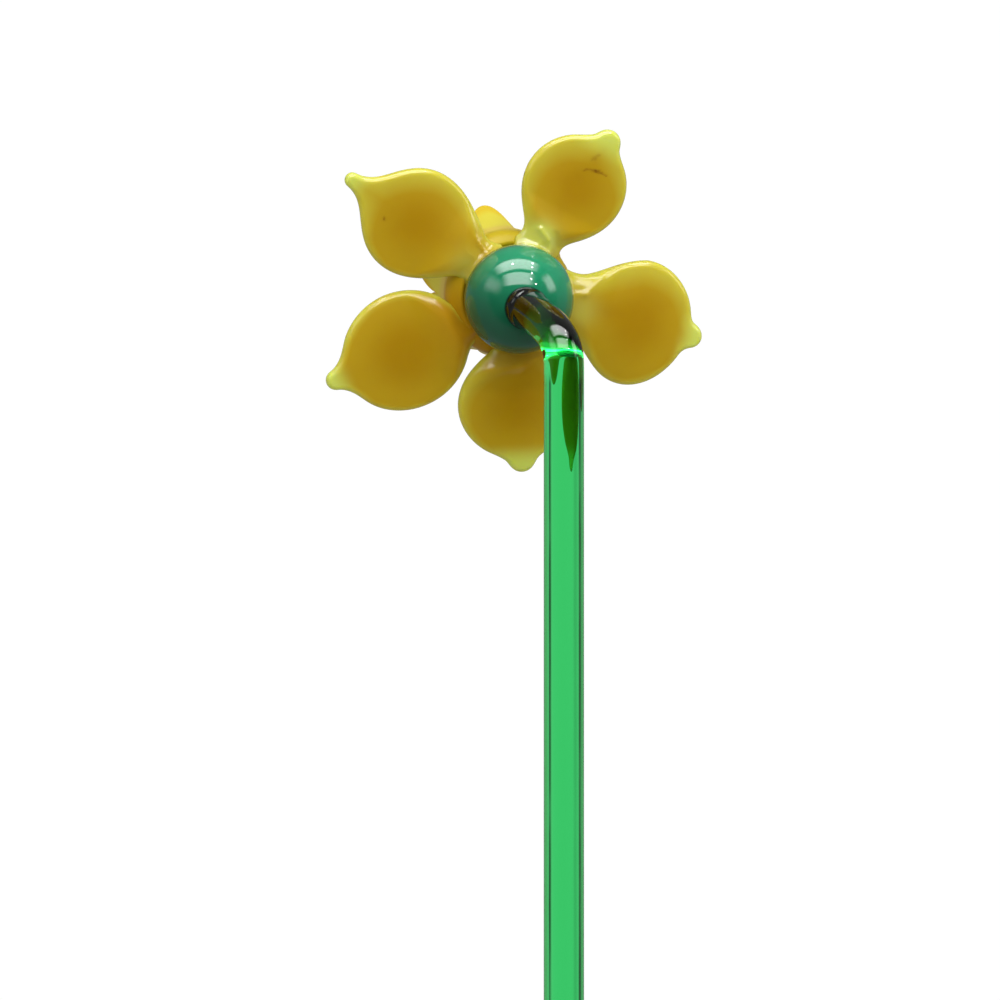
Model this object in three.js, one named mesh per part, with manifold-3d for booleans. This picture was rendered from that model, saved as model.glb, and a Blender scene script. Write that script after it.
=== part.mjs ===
// A lamp-worked glass daffodil lying face down: a green ball, five yellow petals
// with drawn-out tips, a lobed yellow trumpet and a long green glass stem.
// Millimetres. In the stem's own frame the head is at +Y, the stem runs along -Y
// and the flower's back looks along +Z. In the bloom's frame the back is +Z.

import * as THREE from 'three';
import Module from 'manifold-3d';
import { mergeVertices } from 'three/addons/utils/BufferGeometryUtils.js';

const wasm = await Module();
wasm.setup();

// Driving dimensions.
const rodRadius = 3.5;
const stemEndY = -275;
const ballRadius = 9.8;
const ballFrontZ = -5;
const fusedGap = 0.3;

// How the petals and the trumpet, a little askew to them, face away from the stem,
// and how the whole flower lies.
const petalsTurn = new THREE.Euler(
  THREE.MathUtils.degToRad(13.5), THREE.MathUtils.degToRad(10), 0, 'YXZ');
const trumpetTurn = new THREE.Euler(
  THREE.MathUtils.degToRad(11.4), THREE.MathUtils.degToRad(13.4), 0, 'YXZ');
const restPitch = THREE.MathUtils.degToRad(8.722);
const restRoll = THREE.MathUtils.degToRad(-9.687);

// The elbow leaves the ball at a slant and ends in the straight rod.
const stemRoot = new THREE.Vector3(1.62, -2.24, 9.19);
const stemRootPull = new THREE.Vector3(3.06, -2.63, 6.63);
const stemRodTop = new THREE.Vector3(7.69, -12.01, 23.07);
const stemRodPull = new THREE.Vector3(0, 4.94, 0.73);
const rootFlare = { radius: 0.8, length: 2.4, sunk: 1.6 };
const polishedEdge = 1.0;
const stemSides = 16;
const elbowSteps = 14;
const rodSteps = 6;
const edgeAngles = [30, 60, 90];

// Petals. Lengths run outward from the bloom's axis, sides counter-clockwise.
const petalPlaneZ = -4.2;
const petalCup = 0.008;
const paddleHalfThick = 1.4;
const neckHalfThick = 2.3;
const edgeHalfThick = 0.02;
const neckStart = 6;
const neckEnd = 12;
const paddleStart = 18;
const rimWidth = 1.5;
const tipBar = { start: 0.6, swell: 1.8 };
const petalRootAt = 7;
const petalRootRadius = 9.4;
const petalStations = 26;
const firstStation = 0.15;
const petalSides = 16;
const searchWidth = 20;
const searchHalvings = 24;
const petals = [
  { name: 'petal_1', azimuth: 144.6, centre: 22.4, side: 0.2, long: 9.2, wide: 9.5,
    tip: 36.4, tipSide: 0.8, tipRadius: 1.4, tipBlend: 5.1,
    neck: 1.5, neckSide: -1.8, neckFar: 2, neckFarSide: 0, neckBlend: 11.9, rootBlend: 3 },
  { name: 'petal_2', azimuth: 62.8, centre: 22.0, side: 0, long: 9.6, wide: 9.5,
    tip: 31.8, tipSide: -1.2, tipRadius: 2.4, tipBlend: 2.0,
    neck: 1.5, neckSide: 1.6, neckFar: 2, neckFarSide: 0, neckBlend: 6.9, rootBlend: 5 },
  { name: 'petal_3', azimuth: -13.6, centre: 23.0, side: -0.2, long: 9.1, wide: 11.1,
    tip: 33.5, tipSide: 0.5, tipRadius: 2.0, tipBlend: 1.0,
    neck: 3.4, neckSide: 0.2, neckFar: 8, neckFarSide: 2.9, neckBlend: 4.3, rootBlend: 5 },
  { name: 'petal_4', azimuth: -87.8, centre: 20.2, side: 0.7, long: 9.7, wide: 10.7,
    tip: 30.3, tipSide: 1.4, tipRadius: 2.4, tipBlend: 2.2,
    neck: 1.5, neckSide: 3.2, neckFar: 2, neckFarSide: 0, neckBlend: 11, rootBlend: 2.5 },
  { name: 'petal_5', azimuth: 208.4, centre: 22.0, side: 0, long: 11.7, wide: 10.8,
    tip: 35.6, tipSide: -1.3, tipRadius: 1.8, tipBlend: 3.0,
    neck: 1.6, neckSide: 3.2, neckFar: 2, neckFarSide: 0, neckBlend: 3, rootBlend: 4.6 },
];

// Trumpet: a tube that hugs the ball, widens over a shoulder and flares into six uneven
// round lobes, with one low stretch of rim beside the second petal.
const trumpetLip = { middle: 9.7, z: -4.6, round: 0.65, from: 150, to: 30, steps: 4 };
const seatArc = { end: -27, steps: 3 };
const shoulder = [11.1, -5.9];
const flareFrom = [11.5, -7];
const flareOut = 2.8;
const flareLong = 11;
const flareBend = 2;
const trumpetFloorZ = -7;
const trumpetFloorRadius = 7.4;
const trumpetWall = 1.6;
const rimAngles = [30, 60, 90, 120, 150];
const lobeRoundness = 0.55;
const trumpetSides = 60;
const flareSteps = 5;
const lobes = [
  { from: 24, notch: 0.5, reach: 0.9 },
  { from: 70, notch: 0.12, reach: 0.15 },
  { from: 86.5, notch: 0.3, reach: 1.02 },
  { from: 117, notch: 0.55, reach: 1.16 },
  { from: 184, notch: 0.44, reach: 1.08 },
  { from: 249, notch: 0.4, reach: 0.74 },
  { from: 313, notch: 0.45, reach: 1.1 },
];

// The solid that every petal stops short of, and the facets of the round bodies.
const coreLipArc = { from: 0, to: 100, steps: 5 };
const coreBallArc = { from: -14, to: 75, steps: 12 };
const coreSides = 48;
const ballSides = 36;
const ballSteps = 18;

const glass = {
  green: new THREE.MeshStandardMaterial({ color: 0x1f9a5c, roughness: 0.08, metalness: 0 }),
  clearGreen: new THREE.MeshStandardMaterial({
    color: 0x2fbf62, roughness: 0.05, metalness: 0, transparent: true, opacity: 0.6 }),
  yellow: new THREE.MeshStandardMaterial({ color: 0xcfb52e, roughness: 0.12, metalness: 0 }),
  amber: new THREE.MeshStandardMaterial({ color: 0xe0b428, roughness: 0.12, metalness: 0 }),
};

// A closed body through rings of equal length, with each end closed by a fan.
function loftBody(rings) {
  const sides = rings[0].length;
  const points = rings.flat();
  const faces = [];
  for (let row = 0; row < rings.length - 1; row++) {
    for (let side = 0; side < sides; side++) {
      const next = (side + 1) % sides;
      const a = row * sides + side;
      const b = row * sides + next;
      faces.push(a, b, b + sides, a, b + sides, a + sides);
    }
  }
  for (const [row, turned] of [[0, true], [rings.length - 1, false]]) {
    const middle = new THREE.Vector3();
    rings[row].forEach((point) => middle.addScaledVector(point, 1 / sides));
    const hub = points.push(middle) - 1;
    for (let side = 0; side < sides; side++) {
      const a = row * sides + side;
      const b = row * sides + (side + 1) % sides;
      faces.push(...(turned ? [b, a, hub] : [a, b, hub]));
    }
  }
  const geometry = new THREE.BufferGeometry().setFromPoints(points);
  geometry.setIndex(faces);
  return geometry;
}

function toSolid(geometry) {
  geometry.deleteAttribute('normal');
  geometry.deleteAttribute('uv');
  const merged = mergeVertices(geometry, 1e-4);
  return new wasm.Manifold(new wasm.Mesh({
    numProp: 3,
    vertProperties: new Float32Array(merged.attributes.position.array),
    triVerts: new Uint32Array(merged.index.array),
  }));
}

function toGeometry(solid) {
  const mesh = solid.getMesh();
  const geometry = new THREE.BufferGeometry();
  geometry.setAttribute('position', new THREE.BufferAttribute(mesh.vertProperties, 3));
  geometry.setIndex(new THREE.BufferAttribute(mesh.triVerts, 1));
  return geometry;
}

// A surface of revolution about the bloom's axis, from [radius, z] points.
function turnedGeometry(profile, sides) {
  const outline = profile.map(([radius, z]) => new THREE.Vector2(radius, z));
  return new THREE.LatheGeometry(outline, sides).rotateX(Math.PI / 2);
}

// Points on a circular arc of [radius, z], angles in degrees from the radius axis.
function arcPoints(centreRadius, centreZ, radius, from, to, steps) {
  const points = [];
  for (let step = 0; step <= steps; step++) {
    const angle = THREE.MathUtils.degToRad(from + (to - from) * step / steps);
    points.push([centreRadius + radius * Math.cos(angle), centreZ + radius * Math.sin(angle)]);
  }
  return points;
}

// The ball, flat in front where it is fused to the trumpet.
function ballProfile(radius, frontZ) {
  const frontAngle = THREE.MathUtils.radToDeg(Math.asin(frontZ / radius));
  const round = arcPoints(0, 0, radius, frontAngle, 90, ballSteps);
  round[round.length - 1] = [0, radius];
  return [[0, frontZ], ...round];
}

// How far along the flare the rim lies at an azimuth in degrees: each lobe is a
// round scallop between the notch where it starts and the next one's.
function rimShare(azimuth) {
  const found = lobes.findLastIndex((lobe) => lobe.from <= azimuth);
  const lobe = lobes.at(found);
  const next = lobes[(lobes.indexOf(lobe) + 1) % lobes.length];
  const width = (next.from - lobe.from + 360) % 360;
  const along = ((azimuth - lobe.from + 360) % 360) / width;
  const base = THREE.MathUtils.lerp(lobe.notch, next.notch, along);
  return THREE.MathUtils.lerp(base, lobe.reach, Math.sin(Math.PI * along) ** lobeRoundness);
}

// A point on the flare as [radius, z], set in from its outside by a depth.
function flarePoint(share, depth) {
  const slope = flareBend * flareOut * share ** (flareBend - 1);
  const length = Math.hypot(slope, flareLong);
  return [
    flareFrom[0] + flareOut * share ** flareBend - depth * flareLong / length,
    flareFrom[1] - flareLong * share - depth * slope / length,
  ];
}

// The rounded rim: the end of the flare, turned over half the wall.
function rimPoint(share, turn) {
  const outside = flarePoint(share, 0);
  const inside = flarePoint(share, trumpetWall);
  const middle = [(outside[0] + inside[0]) / 2, (outside[1] + inside[1]) / 2];
  const across = [outside[0] - middle[0], outside[1] - middle[1]];
  return [
    middle[0] + across[0] * Math.cos(turn) + across[1] * Math.sin(turn),
    middle[1] + across[1] * Math.cos(turn) - across[0] * Math.sin(turn),
  ];
}

function trumpetGeometry() {
  const seatRadius = ballRadius + fusedGap;
  const seatZ = ballFrontZ - fusedGap;
  const seatAngle = THREE.MathUtils.radToDeg(Math.asin(seatZ / seatRadius));
  const fixed = (points) => points.map((point) => () => point);
  const flare = [];
  for (let step = 0; step <= flareSteps; step++) flare.push(step / flareSteps);
  const profile = [
    ...fixed(arcPoints(0, 0, seatRadius, seatAngle, seatArc.end, seatArc.steps)),
    ...fixed(arcPoints(trumpetLip.middle, trumpetLip.z, trumpetLip.round,
      trumpetLip.from, trumpetLip.to, trumpetLip.steps)),
    ...fixed([shoulder]),
    ...flare.map((step) => (share) => flarePoint(share * step, 0)),
    ...rimAngles.map((turn) => (share) => rimPoint(share, THREE.MathUtils.degToRad(turn))),
    ...flare.slice(1).reverse().map((step) => (
      (share) => flarePoint(share * step, trumpetWall))),
    ...fixed([[trumpetFloorRadius, trumpetFloorZ]]),
  ];
  const rings = profile.map((pointAt) => {
    const ring = [];
    for (let side = 0; side < trumpetSides; side++) {
      const azimuth = 360 * side / trumpetSides;
      const turn = THREE.MathUtils.degToRad(azimuth);
      const [radius, z] = pointAt(rimShare(azimuth));
      ring.push(new THREE.Vector3(radius * Math.cos(turn), radius * Math.sin(turn), z));
    }
    return ring;
  });
  return loftBody(rings.reverse());
}

// Signed distance outlines, all in a petal's own plane: x outward, y to the side.
const smoothMin = (a, b, blend) => {
  const overlap = Math.max(blend - Math.abs(a - b), 0) / blend;
  return Math.min(a, b) - overlap * overlap * blend / 4;
};

function taperedBar(x, y, from, to, fromRadius, toRadius) {
  const dx = to[0] - from[0];
  const dy = to[1] - from[1];
  const along = ((x - from[0]) * dx + (y - from[1]) * dy) / (dx * dx + dy * dy);
  const share = THREE.MathUtils.clamp(along, 0, 1);
  const away = Math.hypot(x - from[0] - share * dx, y - from[1] - share * dy);
  return away - THREE.MathUtils.lerp(fromRadius, toRadius, share);
}

// Negative inside the petal: an oval paddle, a drawn-out tip, a thick neck and
// the fillets where it is fused to the trumpet.
function petalOutline(petal, x, y) {
  const shortest = Math.min(petal.long, petal.wide);
  const oval = Math.hypot((x - petal.centre) / petal.long, (y - petal.side) / petal.wide);
  const toTip = [petal.tip - petal.centre, petal.tipSide - petal.side];
  const tipShare = tipBar.start * petal.long / Math.hypot(...toTip);
  const tipFrom = [petal.centre + toTip[0] * tipShare, petal.side + toTip[1] * tipShare];
  const tip = taperedBar(x, y, tipFrom, [petal.tip, petal.tipSide],
    tipBar.swell * petal.tipRadius, petal.tipRadius);
  const neck = taperedBar(x, y, [neckStart, petal.neckSide],
    [petal.centre, petal.neckFarSide], petal.neck, petal.neckFar);
  const blade = smoothMin((oval - 1) * shortest, tip, petal.tipBlend);
  const body = smoothMin(blade, neck, petal.neckBlend);
  return smoothMin(body, Math.hypot(x, y) - petalRootRadius, petal.rootBlend);
}

// Where the outline is crossed going from inside to outside along one line.
function edgeBetween(inside, outside, isInside) {
  let near = inside;
  let far = outside;
  for (let halving = 0; halving < searchHalvings; halving++) {
    const middle = (near + far) / 2;
    if (isInside(middle)) {
      near = middle;
    } else {
      far = middle;
    }
  }
  return near;
}

function petalGeometry(petal) {
  const spine = (x) => {
    if (x < petal.centre) {
      return THREE.MathUtils.mapLinear(x, neckStart, petal.centre, petal.neckSide, petal.side);
    }
    return THREE.MathUtils.mapLinear(x, petal.centre, petal.tip, petal.side, petal.tipSide);
  };
  const reach = edgeBetween(petal.centre, petal.tip + searchWidth,
    (x) => petalOutline(petal, x, spine(x)) < 0);
  const rings = [];
  for (let station = 0; station < petalStations; station++) {
    const turn = Math.PI / 2 * (station + firstStation) / petalStations;
    const x = petalRootAt + (reach - petalRootAt) * Math.sin(turn);
    const middle = spine(x);
    const isInside = (y) => petalOutline(petal, x, y) < 0;
    const left = edgeBetween(middle, middle + searchWidth, isInside);
    const right = edgeBetween(middle, middle - searchWidth, isInside);
    const toPaddle = THREE.MathUtils.smoothstep(x, neckEnd, paddleStart);
    const thick = THREE.MathUtils.lerp(neckHalfThick, paddleHalfThick, toPaddle);
    const rim = THREE.MathUtils.lerp((left - right) / 2, rimWidth, toPaddle);
    const ring = [];
    for (let side = 0; side < petalSides; side++) {
      const around = 2 * Math.PI * side / petalSides;
      const y = (left + right) / 2 + (left - right) / 2 * Math.cos(around);
      const inward = Math.min(Math.max(-petalOutline(petal, x, y), 0) / rim, 1);
      const half = thick * Math.sqrt(1 - (1 - inward) ** 2) + edgeHalfThick;
      const onEdge = side % (petalSides / 2) === 0;
      const face = side < petalSides / 2 ? 1 : -1;
      const z = petalPlaneZ - petalCup * y * y;
      ring.push(new THREE.Vector3(x, y, onEdge ? z : z + face * half));
    }
    rings.push(ring);
  }
  return loftBody(rings);
}

// What every petal stops short of: the ball and the trumpet's outside.
const coreSolid = toSolid(turnedGeometry([
  [0, flareFrom[1] - flareLong],
  [flareFrom[0] + flareOut + fusedGap, flareFrom[1] - flareLong],
  [flareFrom[0] + fusedGap, flareFrom[1]],
  [shoulder[0] + fusedGap, shoulder[1]],
  ...arcPoints(trumpetLip.middle, trumpetLip.z, trumpetLip.round + fusedGap,
    coreLipArc.from, coreLipArc.to, coreLipArc.steps),
  ...arcPoints(0, 0, ballRadius + fusedGap,
    coreBallArc.from, coreBallArc.to, coreBallArc.steps),
  [0, ballRadius + fusedGap],
], coreSides).applyMatrix4(new THREE.Matrix4().makeRotationFromEuler(trumpetTurn)));

function stemGeometry() {
  const elbow = new THREE.CubicBezierCurve3(
    stemRoot,
    stemRoot.clone().add(stemRootPull),
    stemRodTop.clone().add(stemRodPull),
    stemRodTop);
  const stemLeave = stemRootPull.clone().normalize();
  const stations = [{ point: stemRoot.clone().addScaledVector(stemLeave, -rootFlare.sunk),
    along: stemLeave, radius: rodRadius + rootFlare.radius }];
  for (let step = 0; step <= elbowSteps; step++) {
    const share = step / elbowSteps;
    const gone = elbow.getLength() * share;
    const flare = Math.max(1 - gone / rootFlare.length, 0) ** 2;
    stations.push({ point: elbow.getPointAt(share), along: elbow.getTangentAt(share),
      radius: rodRadius + rootFlare.radius * flare });
  }
  const down = new THREE.Vector3(0, -1, 0);
  const rodEnd = stemEndY + polishedEdge;
  for (let step = 1; step <= rodSteps; step++) {
    const y = THREE.MathUtils.lerp(stemRodTop.y, rodEnd, step / rodSteps);
    stations.push({ point: stemRodTop.clone().setY(y), along: down, radius: rodRadius });
  }
  for (const angle of edgeAngles) {
    const turn = THREE.MathUtils.degToRad(angle);
    stations.push({
      point: stemRodTop.clone().setY(rodEnd - polishedEdge * Math.sin(turn)),
      along: down,
      radius: rodRadius - polishedEdge * (1 - Math.cos(turn)),
    });
  }
  const sideways = new THREE.Vector3();
  const rings = stations.map(({ point, along, radius }) => {
    const out = new THREE.Vector3(0, 0, 1).cross(along).normalize();
    sideways.crossVectors(along, out).normalize();
    const ring = [];
    for (let side = 0; side < stemSides; side++) {
      const turn = 2 * Math.PI * (side + 0.5) / stemSides;
      ring.push(point.clone()
        .addScaledVector(out, radius * Math.cos(turn))
        .addScaledVector(sideways, radius * Math.sin(turn)));
    }
    return ring;
  });
  return loftBody(rings);
}

function addMesh(parent, name, geometry, material) {
  const mesh = new THREE.Mesh(geometry, material);
  mesh.name = name;
  parent.add(mesh);
}

const flower = new THREE.Group();
const heart = new THREE.Group();
heart.rotation.copy(trumpetTurn);
flower.add(heart);
addMesh(heart, 'calyx_ball',
  turnedGeometry(ballProfile(ballRadius, ballFrontZ), ballSides), glass.green);
addMesh(heart, 'corona', trumpetGeometry(), glass.amber);

const petalsMatrix = new THREE.Matrix4().makeRotationFromEuler(petalsTurn);
for (const petal of petals) {
  const turn = THREE.MathUtils.degToRad(petal.azimuth);
  const blank = petalGeometry(petal).rotateZ(turn).applyMatrix4(petalsMatrix);
  addMesh(flower, petal.name, toGeometry(toSolid(blank).subtract(coreSolid)), glass.yellow);
}

const ballClear = toSolid(new THREE.SphereGeometry(ballRadius + fusedGap,
  coreSides, coreSides / 2));
addMesh(flower, 'stem', toGeometry(toSolid(stemGeometry()).subtract(ballClear)), glass.clearGreen);

// Lay the flower down, with the middle of its footprint at the origin.
flower.rotation.set(restPitch, restRoll, 0);
flower.updateMatrixWorld(true);
const reachBox = new THREE.Box3().setFromObject(flower, true);
flower.position.set(
  -(reachBox.min.x + reachBox.max.x) / 2, -(reachBox.min.y + reachBox.max.y) / 2, -reachBox.min.z);

const group = new THREE.Group();
group.add(flower);
group.updateMatrixWorld(true);

export default group;
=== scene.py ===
import math

import bpy
import numpy as np
from mathutils import Matrix, Vector


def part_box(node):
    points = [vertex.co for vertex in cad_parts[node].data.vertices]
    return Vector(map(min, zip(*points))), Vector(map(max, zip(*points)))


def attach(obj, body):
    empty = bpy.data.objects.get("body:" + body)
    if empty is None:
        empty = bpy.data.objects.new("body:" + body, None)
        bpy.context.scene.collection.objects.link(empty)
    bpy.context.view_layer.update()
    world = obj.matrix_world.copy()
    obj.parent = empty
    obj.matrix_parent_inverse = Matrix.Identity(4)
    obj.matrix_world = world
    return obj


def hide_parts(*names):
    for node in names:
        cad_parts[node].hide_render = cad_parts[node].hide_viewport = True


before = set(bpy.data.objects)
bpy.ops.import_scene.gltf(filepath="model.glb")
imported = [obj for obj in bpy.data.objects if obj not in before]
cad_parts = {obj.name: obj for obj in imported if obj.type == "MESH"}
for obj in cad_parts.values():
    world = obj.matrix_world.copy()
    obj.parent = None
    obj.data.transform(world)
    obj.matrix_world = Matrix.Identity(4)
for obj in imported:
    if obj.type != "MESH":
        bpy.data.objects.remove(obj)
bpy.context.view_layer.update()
scene = bpy.context.scene
mm = 0.001
print("frame loaded")

# How the flower lies, and how its bloom faces away from the stem, in degrees.
pose = {"restPitch": 8.722, "restRoll": -9.687, "petalsPitch": 13.5, "petalsYaw": 10.0,
        "trumpetPitch": 11.4, "trumpetYaw": 13.4}


def turned(degrees, axis):
    return Matrix.Rotation(math.radians(degrees), 4, axis)


# lightAside turns the ball's painted light a little off the head.
ball = {"radius": 9.8, "flatAt": -5.0, "around": 128, "rows": 72, "topHole": 0.001,
        "lightAside": 0.3, "rodBehind": -5, "farOff": 50.0}
ballLow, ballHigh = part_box("calyx_ball")
ballCentre = Vector(((ballLow[0] + ballHigh[0]) / 2, (ballLow[1] + ballHigh[1]) / 2,
                     ballHigh[2] - ball["radius"] * mm))
lying = turned(pose["restPitch"], "X") @ turned(pose["restRoll"], "Y")
stemFrame = Matrix.Translation(ballCentre) @ lying @ Matrix.Scale(mm, 4)
petalFrame = stemFrame @ turned(pose["petalsYaw"], "Y") @ turned(pose["petalsPitch"], "X")
trumpetFrame = stemFrame @ turned(pose["trumpetYaw"], "Y") @ turned(pose["trumpetPitch"], "X")

# Camera: straight at the flower's back, 800 mm away, as in the photograph.
view = {"place": (-3.39, -35.86, 800.0), "lens": 161.28, "sensor": 36.0, "clipEnd": 20}
lens = bpy.data.cameras.new("camera")
lens.lens = view["lens"]
lens.sensor_width = view["sensor"]
lens.clip_end = view["clipEnd"]
camera = bpy.data.objects.new("camera", lens)
camera.matrix_world = Matrix.Translation(stemFrame @ Vector(view["place"])) @ lying
scene.collection.objects.link(camera)
scene.camera = camera
print("camera set")


# One socket with a number or vector in it; sums on it add Math nodes.
class Wire:
    def __init__(self, tree, socket):
        self.tree = tree
        self.socket = socket

    def maths(self, operation, *others):
        values = [self, *others]
        return addNode(self.tree, "ShaderNodeMath", {"operation": operation},
                       dict(enumerate(values))).out(0)

    def __add__(self, other):
        return self.maths("ADD", other)

    def __sub__(self, other):
        return self.maths("SUBTRACT", other)

    def __mul__(self, other):
        return self.maths("MULTIPLY", other)

    def __truediv__(self, other):
        return self.maths("DIVIDE", other)

    def __pow__(self, other):
        return self.maths("POWER", other)

    def __rsub__(self, other):
        return asWire(self.tree, other).maths("SUBTRACT", self)

    def __rtruediv__(self, other):
        return asWire(self.tree, other).maths("DIVIDE", self)

    def __neg__(self):
        return self * -1.0

    __radd__ = __add__
    __rmul__ = __mul__


# A node just added to a tree, with its outputs as wires.
class Made:
    def __init__(self, tree, node):
        self.tree = tree
        self.node = node

    def out(self, name):
        return Wire(self.tree, self.node.outputs[name])


def addNode(tree, kind, settings=None, sockets=None):
    node = tree.nodes.new(kind)
    for name, value in (settings or {}).items():
        setattr(node, name, value)
    for name, value in (sockets or {}).items():
        if isinstance(value, Wire):
            tree.links.new(value.socket, node.inputs[name])
        else:
            node.inputs[name].default_value = value
    return Made(tree, node)


def asWire(tree, number):
    return addNode(tree, "ShaderNodeMath", {"operation": "ADD"}, {0: number, 1: 0.0}).out(0)


def clamped(value):
    return value.maths("MINIMUM", 1.0).maths("MAXIMUM", 0.0)


def blended(low, high, share):
    return share * (high - low) + low


def stepped(value, start, end):
    share = clamped((value - start) / (end - start))
    return share * share * (3.0 - 2.0 * share)


def joined(a, b, blend):
    overlap = (blend - (a - b).maths("ABSOLUTE")).maths("MAXIMUM", 0.0) / blend
    return a.maths("MINIMUM", b) - overlap * overlap * blend * 0.25


def hypot(a, b):
    return (a * a + b * b).maths("SQRT")


def axes(tree, vector):
    parts = addNode(tree, "ShaderNodeSeparateXYZ", None, {0: vector})
    return [parts.out(i) for i in range(3)]


def noise(tree, place, scale, detail, output="Fac"):
    return addNode(tree, "ShaderNodeTexNoise", None, {
        "Vector": place, "Scale": scale, "Detail": detail}).out(output)


# Ends a shape tree: real geometry, smooth, in its glass.
def closed(tree, end, geometry, material):
    smooth = addNode(tree, "GeometryNodeSetShadeSmooth", None, {"Geometry": geometry})
    real = addNode(tree, "GeometryNodeRealizeInstances", None, {"Geometry": smooth.out(0)})
    glazed = addNode(tree, "GeometryNodeSetMaterial", None, {
        "Geometry": real.out(0), "Material": material})
    tree.links.new(glazed.out(0).socket, end.node.inputs[0])


def newShape(name, inputs):
    tree = bpy.data.node_groups.new(name, "GeometryNodeTree")
    tree.interface.new_socket("Geometry", in_out="INPUT", socket_type="NodeSocketGeometry")
    for label, kind, value in inputs:
        made = tree.interface.new_socket(label, in_out="INPUT", socket_type="NodeSocket" + kind)
        made.default_value = value
    tree.interface.new_socket("Geometry", in_out="OUTPUT", socket_type="NodeSocketGeometry")
    start = addNode(tree, "NodeGroupInput")
    end = addNode(tree, "NodeGroupOutput")
    return tree, start, end


# Runs a shape tree on a starting mesh and keeps the result as a plain mesh.
def grown(name, tree, values, place, base=None):
    seed = bpy.data.objects.new(name + "_seed", base or bpy.data.meshes.new(name + "_seed"))
    scene.collection.objects.link(seed)
    modifier = seed.modifiers.new("shape", "NODES")
    modifier.node_group = tree
    for item in tree.interface.items_tree:
        if item.in_out == "INPUT" and item.name in values:
            modifier[item.identifier] = values[item.name]
    bpy.context.view_layer.update()
    dressed = seed.evaluated_get(bpy.context.evaluated_depsgraph_get())
    mesh = bpy.data.meshes.new_from_object(dressed)
    bpy.data.objects.remove(seed)
    mesh.transform(place)
    mesh.name = name
    piece = bpy.data.objects.new(name, mesh)
    scene.collection.objects.link(piece)
    return piece


def meshPiece(name, points, faces, place):
    mesh = bpy.data.meshes.new(name)
    mesh.from_pydata([tuple(map(float, point)) for point in points], [], faces)
    mesh.transform(place)
    mesh.polygons.foreach_set("use_smooth", [True] * len(mesh.polygons))
    piece = bpy.data.objects.new(name, mesh)
    scene.collection.objects.link(piece)
    return piece


def keepOnPoints(piece, columns):
    for label, values in columns.items():
        layer = piece.data.attributes.new(label, "FLOAT", "POINT")
        layer.data.foreach_set("value", np.asarray(values, dtype=float))


def dress(piece, material, node):
    piece.data.materials.clear()
    piece.data.materials.append(material)
    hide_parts(node)
    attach(piece, "root")


# Materials.
def newMaterial(name):
    material = bpy.data.materials.new(name)
    material.use_nodes = True
    material.node_tree.nodes.clear()
    return material, material.node_tree


def attribute(tree, name, output="Fac"):
    return addNode(tree, "ShaderNodeAttribute", {"attribute_name": name}).out(output)


def mixedColour(tree, first, second, share):
    node = addNode(tree, "ShaderNodeMix", {"data_type": "RGBA"}, {0: share})
    for index, colour in ((6, first), (7, second)):
        if isinstance(colour, Wire):
            tree.links.new(colour.socket, node.node.inputs[index])
        else:
            node.node.inputs[index].default_value = (*colour, 1.0)
    return node.out(2)


# Lays colours over the first one, each with the share of it that shows.
def layered(tree, colour, layers):
    for cover, share in layers:
        colour = mixedColour(tree, colour, cover, share)
    return colour


def finished(tree, surface, volume=None):
    output = addNode(tree, "ShaderNodeOutputMaterial", None, {"Surface": surface.out(0)})
    if volume:
        tree.links.new(volume.out(0).socket, output.node.inputs["Volume"])


glassIor = 1.5


# Coloured glass that light enters a little way. Depths in mm.
def denseGlass(tree, finish, colour, more=None):
    finished(tree, addNode(tree, "ShaderNodeBsdfPrincipled", {"subsurface_method": "RANDOM_WALK"}, {
        "Base Color": colour, "Roughness": finish["roughness"], "IOR": glassIor,
        "Specular IOR Level": finish["specular"], "Subsurface Weight": finish["through"],
        "Subsurface Scale": finish["throughDepth"] * mm, "Subsurface Radius": finish["spread"],
        **(more or {})}))


# Yellow blades with greener edges, knobs and necks. The edge is painted wider on the side towards
# the head, as painted light from the lamps there. Places and widths in mm from the edge.
petalFinish = {"middle": (0.34, 0.19, 0.002), "middleOver": (2.0, 8.5),
               "blade": (0.39, 0.25, 0.007), "edge": (0.48, 0.45, 0.045),
               "shadedSideEdge": 1.3, "litSideEdge": 6.0, "edgeFade": 0.7,
               "amber": (0.36, 0.18, 0.004), "amberOver": (0.2, 1.0),
               "neck": (0.45, 0.46, 0.08), "knob": (0.49, 0.54, 0.09),
               "stain": (0.17, 0.07, 0.003),
               "cloudScale": 0.11, "cloudDetail": 2.0, "cloudReach": 2.0,
               "streakScale": 0.6, "streakDetail": 3.0, "streakBump": 0.15, "streakHigh": 0.2,
               "coat": 0.35, "coatOnLime": 0.7, "coatRoughness": 0.03,
               "roughness": 0.2, "specular": 0.3, "through": 0.6, "throughDepth": 2.0,
               "spread": (1.0, 0.75, 0.15)}


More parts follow.
